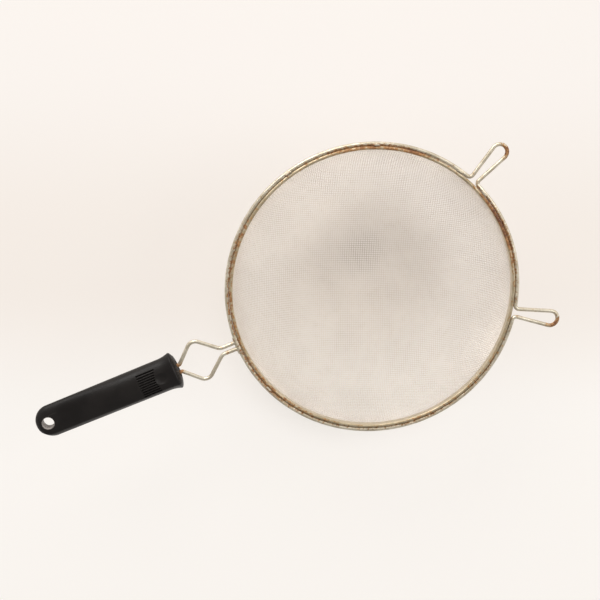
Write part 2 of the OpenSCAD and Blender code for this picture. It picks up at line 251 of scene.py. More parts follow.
def wire_path():
    ear_half, neck_half = foot_half(EAR_SPREAD, EAR_OFFSET), foot_half(0, NECK_PITCH / 2)
    leg = leg_path()
    path = turned(mirrored(leg), 180)
    path += ring_path(180 - neck_half, EAR_ANGLES[0] + ear_half)
    path += turned(ear_path(), EAR_ANGLES[0])
    path += ring_path(EAR_ANGLES[0] - ear_half, EAR_ANGLES[1] + ear_half)
    path += turned(ear_path(), EAR_ANGLES[1])
    path += ring_path(EAR_ANGLES[1] - ear_half, neck_half - 180)
    return path + turned(leg, 180)


def filled_in(path, reach):
    """The same route with points added on its long straight stretches."""
    out = [path[0]]
    for p, q in zip(path, path[1:]):
        n = max(1, int(math.hypot(q[0] - p[0], q[1] - p[1]) / reach))
        for i in range(1, n + 1):
            t = i / n
            out.append((lerp(p[0], q[0], t), lerp(p[1], q[1], t), lerp(p[2], q[2], t) if n == 1 else
                        (p[2] if t < 1 else q[2])))
    return out


# Woven cloth
R_FLAT = BOTTOM_R - MESH_T / 2          # radii of the middle of the cloth
R_SIDE = SHOULDER_R - MESH_T / 2
S_BLEND = R_FLAT * (math.pi / 2 - BLEND)
S_WALL = S_BLEND + R_SIDE * BLEND
S_TOP = S_WALL + MESH_TOP - SHOULDER_Z


def profile(s):
    """Radius, height and outward normal (radial, vertical) of the cloth at a distance from its pole."""
    a = s / R_FLAT
    b = BLEND - (s - S_BLEND) / R_SIDE
    flat, side = s <= S_BLEND, (s > S_BLEND) & (s <= S_WALL)
    r = np.where(flat, R_FLAT * np.sin(a),
                 np.where(side, SHOULDER_C + R_SIDE * np.cos(b), SHOULDER_C + R_SIDE))
    z = np.where(flat, BOWL_BOTTOM + BOTTOM_R - R_FLAT * np.cos(a),
                 np.where(side, SHOULDER_Z - R_SIDE * np.sin(b), SHOULDER_Z + s - S_WALL))
    nr = np.where(flat, np.sin(a), np.where(side, np.cos(b), 1.0))
    nz = np.where(flat, -np.cos(a), np.where(side, -np.sin(b), 0.0))
    return r, z, nr, nz


def on_bowl(u, v):
    """Point and normal of the cloth at flat coordinates, whose length is the distance from the pole."""
    s = np.maximum(np.hypot(u, v), 1e-9)
    r, z, nr, nz = profile(s)
    cu, cv = u / s, v / s
    return (np.stack([r * cu, r * cv, z], -1), np.stack([nr * cu, nr * cv, nz], -1))


def drape(count):
    """Flat coordinates of each crossing in one quarter of a cloth whose wires keep their distances.
    Crossing (i, j) lies one pitch from (i - 1, j) and from (i, j - 1), as in cloth pressed to shape."""
    U = np.zeros((count + 1, count + 1))
    V = np.zeros((count + 1, count + 1))
    U[:, 0] = V[0, :] = np.arange(count + 1) * PITCH
    for k in range(2, 2 * count + 1):
        i = np.arange(max(1, k - count), min(count, k - 1) + 1)
        j = k - i
        A = on_bowl(U[i - 1, j], V[i - 1, j])[0]
        B = on_bowl(U[i, j - 1], V[i, j - 1])[0]
        u = U[i - 1, j] + U[i, j - 1] - U[i - 1, j - 1]
        v = V[i - 1, j] + V[i, j - 1] - V[i - 1, j - 1]
        for _ in range(7):
            def miss(u, v):
                P = on_bowl(u, v)[0]
                return (np.sum((P - A) ** 2, 1) - PITCH ** 2, np.sum((P - B) ** 2, 1) - PITCH ** 2)
            f, g = miss(u, v)
            e = 1e-4
            fu, gu = miss(u + e, v)
            fv, gv = miss(u, v + e)
            fu, gu, fv, gv = (fu - f) / e, (gu - g) / e, (fv - f) / e, (gv - g) / e
            det = fu * gv - fv * gu
            det = np.where(np.abs(det) < 1e-6, 1e-6, det)
            du, dv = -(f * gv - g * fv) / det, -(g * fu - f * gu) / det
            lim = 0.6 * PITCH
            u, v = u + np.clip(du, -lim, lim), v + np.clip(dv, -lim, lim)
        U[i, j], V[i, j] = u, v
    return U, V


def cloth_wires(U, V, family, sides=5):
    """Tubes of one family of wires: points and quads."""
    n = U.shape[0] - 1
    idx = np.arange(-n, n + 1)
    verts, faces, first = [], [], 0
    turn = math.radians(WEAVE_TURN)
    ct, st = math.cos(turn), math.sin(turn)
    for j in idx:
        i = idx
        a, b = (np.abs(i), np.full_like(i, abs(j)))
        u = U[a, b] * np.sign(i)
        v = V[a, b] * (1 if j >= 0 else -1) * np.where(b > 0, 1, 0)
        if family == 1:
            u, v = v, u
        s = np.hypot(u, v)
        ok = np.nonzero(s < S_TOP)[0]
        if len(ok) < 2:
            continue
        lo, hi = ok[0], ok[-1]
        wave = np.where((i + j) % 2 == 0, 1.0, -1.0) * (1 if family == 0 else -1)
        u, v, w = u[lo:hi + 1], v[lo:hi + 1], wave[lo:hi + 1]
        P, N = on_bowl(u * ct - v * st, u * st + v * ct)
        P = P + N * (w * CLOTH_WIRE / 2)[:, None]
        T = np.gradient(P, axis=0)
        T /= np.linalg.norm(T, axis=1)[:, None]
        B = np.cross(T, N)
        B /= np.linalg.norm(B, axis=1)[:, None]
        Nn = np.cross(B, T)
        ang = 2 * np.pi * (np.arange(sides) + 0.5) / sides
        ring = (P[:, None, :] + CLOTH_WIRE / 2 * (np.cos(ang)[None, :, None] * Nn[:, None, :]
                                                   + np.sin(ang)[None, :, None] * B[:, None, :]))
        verts.append(ring.reshape(-1, 3))
        faces.append(grid_faces(len(P), sides, first))
        first += len(P) * sides
    return np.concatenate(verts), np.concatenate(faces)


# Materials
class Shader:
    """A material's node tree, built with short calls."""

    def __init__(self, name):
        self.mat = bpy.data.materials.new(name)
        self.mat.use_nodes = True
        self.t = self.mat.node_tree
        self.t.nodes.clear()
        self.out = self.t.nodes.new("ShaderNodeOutputMaterial")

    def node(self, kind, **inputs):
        n = self.t.nodes.new("ShaderNode" + kind)
        props = inputs.pop("props", {})
        for k, v in props.items():
            setattr(n, k, v)
        for k, v in inputs.items():
            key = int(k[1:]) if k[0] == "i" and k[1:].isdigit() else k.replace("_", " ")
            self.put(n.inputs[key], v)
        return n

    def put(self, socket, v):
        if isinstance(v, bpy.types.NodeSocket):
            self.t.links.new(v, socket)
        elif isinstance(v, tuple) and socket.type == "RGBA" and len(v) == 3:
            socket.default_value = (*v, 1.0)
        else:
            socket.default_value = v

    def coords(self, scale=(1, 1, 1)):
        tc = self.node("TexCoord")
        m = self.node("Mapping", Vector=tc.outputs["Object"], Scale=scale)
        return m.outputs[0]

    def noise(self, vec, scale, detail=4.0, rough=0.55, distortion=0.0):
        n = self.node("TexNoise", Vector=vec, Scale=scale, Detail=detail, Roughness=rough,
                      Distortion=distortion)
        return n.outputs["Fac"]

    def ramp(self, fac, a, b, lo=0.0, hi=1.0):
        """Smoothly from lo to hi as fac goes from a to b."""
        n = self.node("MapRange", i0=fac, i1=a, i2=b, i3=lo, i4=hi,
                      props={"interpolation_type": "SMOOTHSTEP"})
        return n.outputs[0]

    def mix(self, fac, a, b):
        n = self.t.nodes.new("ShaderNodeMix")
        n.data_type = "RGBA"
        for i, v in ((0, fac), (6, a), (7, b)):
            self.put(n.inputs[i], v)
        return n.outputs[2]

    def math(self, op, a, b=0.0, clamp=False):
        n = self.node("Math", i0=a, i1=b, props={"operation": op, "use_clamp": clamp})
        return n.outputs[0]

    def attribute(self, name):
        n = self.t.nodes.new("ShaderNodeAttribute")
        n.attribute_name = name
        return n.outputs["Fac"]

    def distance(self, vec, point):
        n = self.node("VectorMath", i0=vec, i1=point, props={"operation": "DISTANCE"})
        return n.outputs["Value"]

    def dot(self, vec, axis):
        n = self.node("VectorMath", i0=vec, i1=axis, props={"operation": "DOT_PRODUCT"})
        return n.outputs["Value"]

    def bump(self, height, strength, distance):
        return self.node("Bump", Height=height, Strength=strength, Distance=distance).outputs[0]

    def surface(self, **inputs):
        p = self.node("BsdfPrincipled", **inputs)
        self.t.links.new(p.outputs[0], self.out.inputs[0])
        return self.mat


RUST_LIGHT, RUST_BROWN, RUST_DEEP = (0.420, 0.215, 0.082), (0.270, 0.118, 0.042), (0.135, 0.052, 0.025)
RUST_STAIN = (0.45, 0.32, 0.17)


def metal_with_rust(name, clean, dull, bright, rough):
    """Old tinned steel: dull patches, bright worn specks, and rust where the rust attribute is high.
    Below zero the attribute means bright bare metal."""
    s = Shader(name)
    co = s.coords()
    wide = s.noise(co, 110.0, 3.0)
    mid = s.noise(co, 400.0, 4.0, 0.6)
    fine = s.noise(co, 1100.0, 4.0, 0.65)
    grain = s.noise(co, 2600.0, 3.0, 0.6)
    amount = s.attribute("rust")
    col = s.mix(s.ramp(wide, 0.38, 0.62), clean, dull)
    col = s.mix(s.ramp(fine, 0.54, 0.68, 0.0, 0.75), col, bright)
    col = s.mix(s.ramp(amount, -0.1, -0.6), col, bright)
    # rust spreads where the attribute is high, broken up by two sizes of noise
    spots = s.math("ADD", s.math("MULTIPLY", mid, 0.62), s.math("MULTIPLY", fine, 0.38))
    level = s.math("ADD", spots, s.math("MULTIPLY", amount, 0.225))
    stain = s.ramp(level, 0.56, 0.68, 0.0, 0.6)
    rust = s.ramp(level, 0.635, 0.70)
    deep = s.ramp(level, 0.72, 0.84)
    tone = s.mix(s.ramp(s.noise(co, 620.0, 3.0), 0.38, 0.62), RUST_LIGHT, RUST_BROWN)
    col = s.mix(stain, col, RUST_STAIN)
    col = s.mix(rust, col, s.mix(deep, tone, RUST_DEEP))
    metallic = s.math("SUBTRACT", 0.72, s.math("MULTIPLY", rust, 0.68))
    roughness = s.math("ADD", s.ramp(wide, 0.3, 0.7, rough, rough + 0.14),
                       s.math("MULTIPLY", rust, 0.38), True)
    height = s.math("ADD", s.math("MULTIPLY", grain, 0.35),
                    s.math("MULTIPLY", rust, s.math("ADD", fine, 0.3)))
    return s.surface(Base_Color=col, Metallic=metallic, Roughness=roughness,
                     Normal=s.bump(height, 0.5, 0.00012))


def cloth_material():
    """Bright tinned wire, yellowed in patches, with painted shade: browner where the bowl stands on its
    bottom.
    """
    s = Shader("wire_cloth")
    co = s.coords()
    wide = s.noise(co, 28.0, 3.0)
    mid = s.noise(co, 160.0, 3.0)
    fine = s.noise(co, 1500.0, 3.0)
    col = s.mix(s.ramp(wide, 0.35, 0.65), (0.86, 0.785, 0.705), (0.77, 0.69, 0.61))
    col = s.mix(s.ramp(mid, 0.50, 0.72, 0.0, 0.25), col, (0.68, 0.585, 0.475))
    col = s.mix(s.ramp(fine, 0.55, 0.75, 0.0, 0.6), col, (0.93, 0.875, 0.80))
    # painted shade: a dark brownish patch round the bowl's bottom
    away = s.distance(co, (*PAINTED_SHADE_AT, BOWL_BOTTOM * MM))
    painted_shade = s.math("MULTIPLY", s.ramp(away, 0.027, 0.004), s.ramp(wide, 0.25, 0.6, 0.32, 0.48))
    col = s.mix(painted_shade, col, (0.37, 0.275, 0.185))
    rough = s.ramp(mid, 0.3, 0.7, 0.42, 0.58)
    return s.surface(Base_Color=col, Metallic=0.40, Roughness=rough, Normal=s.bump(fine, 0.3, 0.00006))


def weld_material():
    s = Shader("weld_metal")
    co = s.coords()
    mid = s.noise(co, 420.0, 4.0)
    fine = s.noise(co, 1900.0, 4.0, 0.65)
    amount = s.attribute("rust")
    col = s.mix(s.ramp(mid, 0.4, 0.62), (0.60, 0.53, 0.41), (0.44, 0.37, 0.27))
    rust = s.ramp(s.math("ADD", mid, s.math("MULTIPLY", amount, 0.20)), 0.62, 0.74)
    col = s.mix(rust, col, RUST_BROWN)
    return s.surface(Base_Color=col, Metallic=s.math("SUBTRACT", 0.75, s.math("MULTIPLY", rust, 0.6)),
                     Roughness=s.ramp(fine, 0.3, 0.7, 0.38, 0.62), Normal=s.bump(fine, 0.6, 0.00015))


def rubber_material():
    s = Shader("grip_rubber")
    co = s.coords()
    wide = s.noise(co, 55.0, 3.0)
    fine = s.noise(co, 2400.0, 3.0, 0.6)
    dust = s.noise(co, 900.0, 4.0, 0.7)
    # scratches run mostly along the handle
    long = s.noise(s.coords((60, 900, 900)), 1.0, 2.0, 0.5)
    col = s.mix(s.ramp(wide, 0.35, 0.65), (0.0058, 0.0042, 0.0036), (0.0092, 0.0070, 0.0060))
    col = s.mix(s.ramp(dust, 0.64, 0.80, 0.0, 0.4), col, (0.075, 0.066, 0.060))
    col = s.mix(s.ramp(long, 0.70, 0.80, 0.0, 0.3), col, (0.065, 0.058, 0.053))
    # the wall of the hanging hole is painted grey: a painted highlight for the light falling on that wall
    col = s.mix(s.math("MULTIPLY", s.attribute("painted_hole_highlight"), 0.9), col, (0.33, 0.295, 0.275))
    rough = s.math("ADD", s.ramp(wide, 0.3, 0.7, 0.42, 0.52), s.ramp(dust, 0.6, 0.8, 0.0, 0.2))
    height = s.math("ADD", s.math("MULTIPLY", fine, 0.7), s.math("MULTIPLY", long, 0.5))
    return s.surface(Base_Color=col, Roughness=rough, IOR=1.5, Specular_IOR_Level=0.28,
                     Normal=s.bump(height, 0.22, 0.0001))


def core_material():
    s = Shader("core_plastic")
    co = s.coords()
    fine = s.noise(co, 1800.0, 3.0)
    col = s.mix(s.ramp(s.noise(co, 120.0), 0.35, 0.65), (0.03, 0.03, 0.03), (0.045, 0.043, 0.04))
    return s.surface(Base_Color=col, Roughness=s.ramp(fine, 0.3, 0.7, 0.5, 0.65),
                     Normal=s.bump(fine, 0.2, 0.0001))


cloth_mat = cloth_material()
rim_mat = metal_with_rust("rim_sheet", (0.55, 0.46, 0.32), (0.40, 0.325, 0.21), (0.76, 0.69, 0.56), 0.36)
wire_mat = metal_with_rust("frame_wire", (0.72, 0.655, 0.53), (0.52, 0.455, 0.345), (0.86, 0.815, 0.71), 0.34)
weld_mat = weld_material()
rubber_mat = rubber_material()
core_mat = core_material()


# Where the rust is: on the ears' tips and feet, at the collar and at the neck's foot, in mm. At the collar
# the dark rust is also painted shade where the wire goes in.
RUST_TIP_R, RUST_TIP_SIDE, RUST_FOOT_R = 134, 3, 105.5
RUST_AND_SHADE_COLLAR_X, RUST_NECK_X = -146.5, -109
# rust amount on the rim and ring by direction, in degrees counted from +X
RIM_RUST = [(-180, 0.8), (-165, 0.9), (-150, 0.85), (-138, 0.6), (-125, 0.5), (-110, 0.5), (-95, 0.65),
            (-80, 0.55), (-65, 0.6), (-50, 0.45), (-35, 0.3), (-22, 0.35), (-10, 0.8), (3, 1.2), (14, 1.05),
            (22, 0.6), (32, 0.3), (45, 0.45), (55, 0.75), (66, 1.0), (80, 0.85), (92, 0.5), (110, 0.35),
            (125, 0.45), (138, 0.75), (150, 0.7), (165, 0.9), (180, 0.8)]


def rust_by_angle(x, y):
    a = np.degrees(np.arctan2(y, x))
    t = np.array(RIM_RUST, float)
    return np.interp(a, t[:, 0], t[:, 1])


def near(x, y, cx, cy, r):
    return np.exp(-((x - cx) ** 2 + (y - cy) ** 2) / (2 * r * r))


# Frame wire
def make_frame_wire():
    path = filled_in(wire_path(), 2.5)
    P = np.array([(x, y) for x, y, h in path])
    h = np.radians([h for x, y, h in path])
    sides = 16
    ang = 2 * np.pi * (np.arange(sides) + 0.5) / sides
    side = WIRE_R * np.cos(ang)[None, :]
    x = P[:, 0:1] - side * np.sin(h)[:, None]
    y = P[:, 1:2] + side * np.cos(h)[:, None]
    z = WIRE_Z + WIRE_R * np.sin(ang)[None, :] + 0 * x
    verts = np.stack([x, y, z], -1).reshape(-1, 3)
    m = len(path)
    ends = np.array([[P[0, 0], P[0, 1], WIRE_Z], [P[-1, 0], P[-1, 1], WIRE_Z]])
    quads = grid_faces(m, sides)[:, ::-1].tolist()
    k = len(verts)
    tris = [[k, i, (i + 1) % sides] for i in range(sides)]
    tris += [[k + 1, (m - 1) * sides + (i + 1) % sides, (m - 1) * sides + i] for i in range(sides)]
    ob = make_object("frame_wire_bent", np.concatenate([verts, ends]), quads + tris, wire_mat)
    v = points_of(ob) / MM
    X, Y = v[:, 0], v[:, 1]
    r = np.hypot(X, Y)
    on_ring = smooth((RING_R + 2.5 - r) / 3)
    inside = smooth((RING_R + 0.6 - r) / 1.6)
    rust = 0.08 + on_ring * rust_by_angle(X, Y) * (0.30 + 0.60 * inside)
    for a in EAR_ANGLES:
        c, s = math.cos(math.radians(a)), math.sin(math.radians(a))
        rust += 1.2 * near(X, Y, RUST_TIP_R * c + RUST_TIP_SIDE * s, RUST_TIP_R * s - RUST_TIP_SIDE * c, 4.4)
        rust += 0.4 * near(X, Y, RUST_FOOT_R * c, RUST_FOOT_R * s, 3)
    # at the collar: rust, darkened further as painted shade where the wires go into the collar
    rust += 1.2 * near(X, Y, RUST_AND_SHADE_COLLAR_X, 0, 3.2) + 0.4 * near(X, Y, RUST_NECK_X, 0, 4)
    paint(ob, "rust", np.clip(rust, 0, 1.4))
    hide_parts("frame_wire")
    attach(ob, "root")


# Rim
def make_rim():
    """Sheet folded over the cloth's edge, slightly wavy and dented."""
    half, inner = RIM_W / 2, RIM_W / 2 - SHEET_T
    prof = []
    for a in np.linspace(0, 180, 15):
        prof.append((half * math.cos(math.radians(a)), FOLD_Z + half * math.sin(math.radians(a))))
    for z in np.linspace(FOLD_Z - 0.7, RIM_BOTTOM + 0.25, 6):
        prof.append((-half, z))
    prof += [(-half + 0.08, RIM_BOTTOM + 0.06), (-half + 0.25, RIM_BOTTOM), (-inner - 0.2, RIM_BOTTOM),
             (-inner - 0.05, RIM_BOTTOM + 0.08)]
    for z in np.linspace(RIM_BOTTOM + 0.3, FOLD_Z, 4):
        prof.append((-inner, z))
    for a in np.linspace(150, 30, 7):
        prof.append((inner * math.cos(math.radians(a)), FOLD_Z + inner * math.sin(math.radians(a))))
    for z in np.linspace(FOLD_Z, RIM_BOTTOM + 0.3, 4):
        prof.append((inner, z))
    prof += [(inner + 0.05, RIM_BOTTOM + 0.08), (inner + 0.2, RIM_BOTTOM), (half - 0.25, RIM_BOTTOM),
             (half - 0.08, RIM_BOTTOM + 0.06)]
    for z in np.linspace(RIM_BOTTOM + 0.25, FOLD_Z - 0.7, 6):
        prof.append((half, z))
    prof = np.array(prof)
    n = 720
    th = 2 * np.pi * np.arange(n) / n
    wave = np.array([noise.noise(Vector((math.cos(t) * 9, math.sin(t) * 9, 0.3))) for t in th])
    dent = np.array([noise.noise(Vector((math.cos(t) * 30, math.sin(t) * 30, 4.1))) for t in th])
    low = smooth((FOLD_Z - prof[:, 1]) / (FOLD_Z - RIM_BOTTOM))
    # only inwards on the outer leg, beside which the ring wire runs
    outer = (prof[:, 0] > 0).astype(float)
    push = (0.10 * wave + 0.05 * dent)[:, None] * np.ones(len(prof))[None, :]
    push = np.where(outer[None, :] > 0, -np.abs(push) * 0.6, push)
    r = RIM_MID + prof[None, :, 0] + push * (0.35 + 0.65 * low[None, :])
    z = prof[None, :, 1] + 0.10 * wave[:, None] * low[None, :] + 0.04 * dent[:, None]
    x, y = r * np.cos(th)[:, None], r * np.sin(th)[:, None]
    verts = np.stack([x, y, z], -1).reshape(-1, 3)
    ob = make_object("rim_folded", verts, grid_faces(n, len(prof), close_rows=True), rim_mat)
    v = points_of(ob) / MM
    rr = np.hypot(v[:, 0], v[:, 1])
    rust = rust_by_angle(v[:, 0], v[:, 1])
    crevice = smooth((rr - RIM_MID - 0.5) / 0.8)
    hem = smooth((RIM_BOTTOM + 1.2 - v[:, 2]) / 1.0)
    rust = rust * (0.75 + 0.25 * crevice + 0.2 * hem) + 0.12
    rust += 0.7 * near(v[:, 0], v[:, 1], 101, 12, 9) + 0.5 * near(v[:, 0], v[:, 1], 60, 80, 6)
    # the inner face, towards the cloth, is bright bare metal without rust
    bare = smooth((RIM_MID - 0.85 - rr) / 0.35)
    rust = np.clip(rust, 0, 1.4) * (1 - bare) - 0.4 * bare
    paint(ob, "rust", rust)
    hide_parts("rim_band")
    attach(ob, "root")


# Welds: grain of the softened copy and height of its lumps, in mm
BEAD_VOXEL, BEAD_ROUGH = 0.12, 0.10
NECK_VOXEL, NECK_ROUGH = 0.14, 0.16


def soft_copy(node, name, voxel, rough, mat):
    """A closed, softened copy of a CAD node, as poured metal."""
    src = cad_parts[node]
    me = src.data.copy()
    me.name = name
    ob = bpy.data.objects.new(name, me)
    bpy.context.scene.collection.objects.link(ob)
    ob.matrix_world = src.matrix_world
    me.materials.clear()
    rm = ob.modifiers.new("remesh", "REMESH")
    rm.mode = "VOXEL"
    rm.voxel_size = voxel * MM
    sm = ob.modifiers.new("smooth", "SMOOTH")
    sm.iterations = 3
    dg = bpy.context.evaluated_depsgraph_get()
    new = bpy.data.meshes.new_from_object(ob.evaluated_get(dg))
    ob.modifiers.clear()
    ob.data = new
    co = points_of(ob).astype(float)
    nor = np.empty(len(new.vertices) * 3, dtype=np.float32)
    new.vertices.foreach_get("normal", nor)
    nor = nor.reshape(-1, 3)
    d = np.array([noise.noise(Vector(p) * 900) for p in co])
    co += nor * (d * rough * MM)[:, None]
    new.vertices.foreach_set("co", co.astype(np.float32).ravel())
    new.shade_smooth()
    new.materials.append(mat)
    paint(ob, "rust", rust_by_angle(co[:, 0], co[:, 1]))
    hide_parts(node)
    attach(ob, "root")
    return ob


# Grip
def grip_half_w(x):
    r = GRIP_W / 2
    flare = WAIST_W / 2 + (COLLAR_W - WAIST_W) / 2 * (1 - (x - DOME) / FLARE) ** 2
    body = lerp(WAIST_W, GRIP_W, (x - DOME - FLARE) / (GRIP_LEN - r - DOME - FLARE)) / 2
    front = COLLAR_W / 2 * np.sqrt(np.clip(1 - (1 - x / DOME) ** 2, 0, 1))
    tail = np.sqrt(np.clip(r * r - (x - GRIP_LEN + r) ** 2, 0, None))
    return np.where(x < DOME, front, np.where(x < DOME + FLARE, flare,
                                              np.where(x < GRIP_LEN - r, body, tail)))


def grip_body_t(x):
    palm = lerp(WAIST_T, GRIP_T, smooth((x / GRIP_LEN - 0.1) / 0.25))
    return lerp(palm, TAIL_T, smooth((x / GRIP_LEN - THICK_FROM) / (THICK_TO - THICK_FROM)))


def grip_half_t(x):
    body = grip_body_t(x)
    flare = lerp(body, COLLAR_T, (1 - (x - DOME) / FLARE) ** 2) / 2
    front = COLLAR_T / 2 * np.sqrt(np.clip(1 - (1 - x / DOME) ** 2, 0, 1))
    tail = body / 2 * np.sqrt(np.clip(1 - ((x - GRIP_LEN + TAIL_SOFT) / TAIL_SOFT) ** 2, 0, 1))
    return np.where(x < DOME, front, np.where(x < DOME + FLARE, flare,
                                              np.where(x < GRIP_LEN - TAIL_SOFT, body / 2, tail)))


def grip_stations():
    s = [DOME * (1 - math.cos(math.radians(a))) for a in range(6, 90, 7)]
    s += [DOME - 0.06, DOME, DOME + 0.06, DOME + 0.15, DOME + 0.3, DOME + 0.5, DOME + 0.8]
    s += list(np.arange(DOME + 1.3, SLOT_FRONT - 3, 0.7))
    s += list(np.arange(SLOT_FRONT - 2.8, SLOT_FRONT + SLOT_BOW + 0.6, 0.16))
    s += list(np.arange(SLOT_FRONT + SLOT_BOW + 1.0, SLOT_FRONT + SLOT_LEN - 1, 0.9))
    s += list(np.arange(SLOT_FRONT + SLOT_LEN - 0.6, SLOT_FRONT + SLOT_LEN + 0.9, 0.1))
    s += list(np.arange(SLOT_FRONT + SLOT_LEN + 1.2, GRIP_LEN - GRIP_W / 2, 1.3))
    s += [GRIP_LEN - GRIP_W / 2 * (1 - math.sin(math.radians(a))) for a in range(0, 90, 4)]
    s += [GRIP_LEN - 0.008]
    return np.array(s)


def slot_depth_at(x, y):
    """How deep the finger slots and the thumb dimple go at a place on the face."""
    depth = np.zeros_like(x)
    reach = (SLOTS - 1) * SLOT_PITCH / 2
    steps = [-0.4, -0.14, -0.07, -0.01, 0.05, 0.13, 0.26]
    share = [1.0, 1.0, 0.88, 0.36, 0.12, 0.03, 0.0]
    for k in range(SLOTS):
        yk = k * SLOT_PITCH - reach
        x0 = SLOT_FRONT + SLOT_BOW * (1 - (yk / (reach + SLOT_PITCH)) ** 2)
        x1 = SLOT_FRONT + SLOT_LEN
        d = np.hypot(x - np.clip(x, x0, x1), y - yk) - SLOT_W / 2
        depth = np.maximum(depth, SLOT_DEPTH * np.interp(d, steps, share))
    return depth


def make_grip():
    xs = grip_stations()
    offs = [-0.875, -0.66, -0.53, -0.45, -0.39, -0.33, -0.26, 0.0, 0.26, 0.33, 0.39, 0.45, 0.53, 0.66]
    reach = (SLOTS - 1) * SLOT_PITCH / 2
    flat_y = np.array([k * SLOT_PITCH - reach + o for k in range(SLOTS) for o in offs] + [reach + 0.875])
    edge = flat_y[-1]
    hw, ht = grip_half_w(xs), grip_half_t(xs)
    rows = []
    side_t = np.linspace(0, 1, 13)[1:]
    for x, a, b in zip(xs, hw, ht):
        k = min(1.0, 0.80 * a / edge)
        y = flat_y[::-1] * k
        z = b * (1 - (np.abs(y) / a) ** POWER) ** (1 / POWER)
        # the side, from the face's edge round to the other face's edge
        q0 = math.acos((edge * k / a) ** (POWER / 2))
        q = q0 * (1 - side_t)
        ys, zs = a * np.cos(q) ** (2 / POWER), b * np.sin(q) ** (2 / POWER)
        left = np.stack([-ys, zs], 1)
        up = np.concatenate([np.stack([y, z], 1), left])
        down = np.concatenate([np.stack([-y, -z], 1), np.stack([ys, -zs], 1)])
        rows.append(np.concatenate([up, down]))
    S = np.array(rows)
    X = np.repeat(xs[:, None], S.shape[1], 1)
    Y, Z = S[..., 0], S[..., 1]
    face = np.sign(Z)
    cut = slot_depth_at(X, Y)
    on_face = (np.abs(Y) <= edge + 0.01)
    Zc = np.where(on_face, np.abs(Z) - np.minimum(cut, np.abs(Z) * 0.5), np.abs(Z))
    dx = SLOT_FRONT - DIMPLE_AHEAD
    top = float(grip_half_t(np.array(dx)))
    ball = top + DIMPLE_R - DIMPLE_DEPTH - np.sqrt(np.clip(DIMPLE_R ** 2 - (X - dx) ** 2 - Y ** 2, 0, None))
    hit = (X - dx) ** 2 + Y ** 2 < DIMPLE_R ** 2 * 0.98
    Zc = np.where(hit & on_face, np.minimum(Zc, ball), Zc)
    Z = face * Zc
    V = np.stack([-GRIP_FRONT - X, -Y, WIRE_Z + Z], -1).reshape(-1, 3)
    rows_n, cols = X.shape
    faces = grid_faces(rows_n, cols)[:, ::-1].tolist()
    tip, tail = len(V), len(V) + 1
    V = np.concatenate([V, [[-GRIP_FRONT, 0, WIRE_Z], [-GRIP_FRONT - GRIP_LEN, 0, WIRE_Z]]])
    faces += [[tip, (i + 1) % cols, i] for i in range(cols)]
    last = (rows_n - 1) * cols
    faces += [[tail, last + i, last + (i + 1) % cols] for i in range(cols)]
    ob = make_object("grip_moulded", V, faces, rubber_mat)
    cut_grip(ob)
    v = points_of(ob) / MM
    away = np.hypot(v[:, 0] + GRIP_FRONT + GRIP_LEN - HANG_INSET, v[:, 1])
    # painted highlight: marks the hanging hole's wall, which the rubber material paints grey
    paint(ob, "painted_hole_highlight", smooth((HANG_D / 2 + 0.5 - away) / 0.45))
    ob.data.shade_smooth()
    ob.data.set_sharp_from_angle(angle=math.radians(48))
    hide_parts("handle_grip")
    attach(ob, "root")
    return ob


def lathe(name, prof, n, at):
    th = 2 * np.pi * np.arange(n) / n
    P = np.array([[at[0] + r * math.cos(t), at[1] + r * math.sin(t), at[2] + z] for r, z in prof for t in th])
    faces = grid_faces(len(prof), n)[:, ::-1].tolist()
    faces += [list(range(n))[::-1], [(len(prof) - 1) * n + i for i in range(n)]]
    return make_object(name, P, faces)


def cut_grip(ob):
    """The hanging hole with rounded mouths, and the opening at the front that shows the core."""
    half = float(grip_half_t(np.array(GRIP_LEN - HANG_INSET)))
    r, e = HANG_D / 2, 0.7
    prof = []
    for side in (-1, 1):
        arc = [(r + e * (1 - math.cos(math.radians(a))), side * (half - e + e * math.sin(math.radians(a))))
               for a in (0, 22, 45, 68, 88)]
        arc.append((arc[-1][0], side * (half + 2)))
        prof += arc[::-1] if side < 0 else arc
    hole = lathe("hole_tool", prof, 64, (-GRIP_FRONT - GRIP_LEN + HANG_INSET, 0, WIRE_Z))
    w, t = CORE_W + 2 * CORE_GAP, CORE_T + 2 * CORE_GAP
    out = []
    for a in range(-90, 91, 10):
        out.append(((w - t) / 2 + t / 2 * math.cos(math.radians(a)), t / 2 * math.sin(math.radians(a))))
    for a in range(90, 271, 10):
        out.append((-(w - t) / 2 + t / 2 * math.cos(math.radians(a)), t / 2 * math.sin(math.radians(a))))
    n = len(out)
    P = [(x, y, WIRE_Z + z) for x in (-GRIP_FRONT + 2, -GRIP_FRONT - CORE_REACH) for y, z in out]
    faces = [[i, n + i, n + (i + 1) % n, (i + 1) % n] for i in range(n)]
    faces += [list(range(n)), list(range(n, 2 * n))[::-1]]
    front = make_object("core_tool", P, faces)
    for tool in (hole, front):
        md = ob.modifiers.new("cut", "BOOLEAN")
        md.operation = "DIFFERENCE"
        md.solver = "EXACT"
        md.object = tool
    dg = bpy.context.evaluated_depsgraph_get()
    new = bpy.data.meshes.new_from_object(ob.evaluated_get(dg))
    ob.modifiers.clear()
    ob.data = new
    for tool in (hole, front):
        bpy.data.objects.remove(tool)


# Stage and light
FLOOR_Z, FLOOR_R = BOWL_BOTTOM - 0.05, 2600.0
SKY_LOW, SKY_HIGH, SKY_BEHIND_CAMERA = 0.42, 0.80, 0.52
# middles of the foot's shade and of the bowl's shade on the floor, in metres
SHADE_FOOT, SHADE_BOWL = (0.006, 0.009), (-0.009, -0.022)
# softboxes: parts to the right, up and towards the camera, distance and size in metres, power in watts
KEY_FROM, KEY_AWAY, KEY_SIZE, KEY_W = (-0.35, 0.85, 0.75), 1.3, (1.0, 0.8), 14.0
FILL_FROM, FILL_AWAY, FILL_SIZE, FILL_W = (0.9, 0.1, 0.9), 1.6, (0.9, 0.9), 9.0


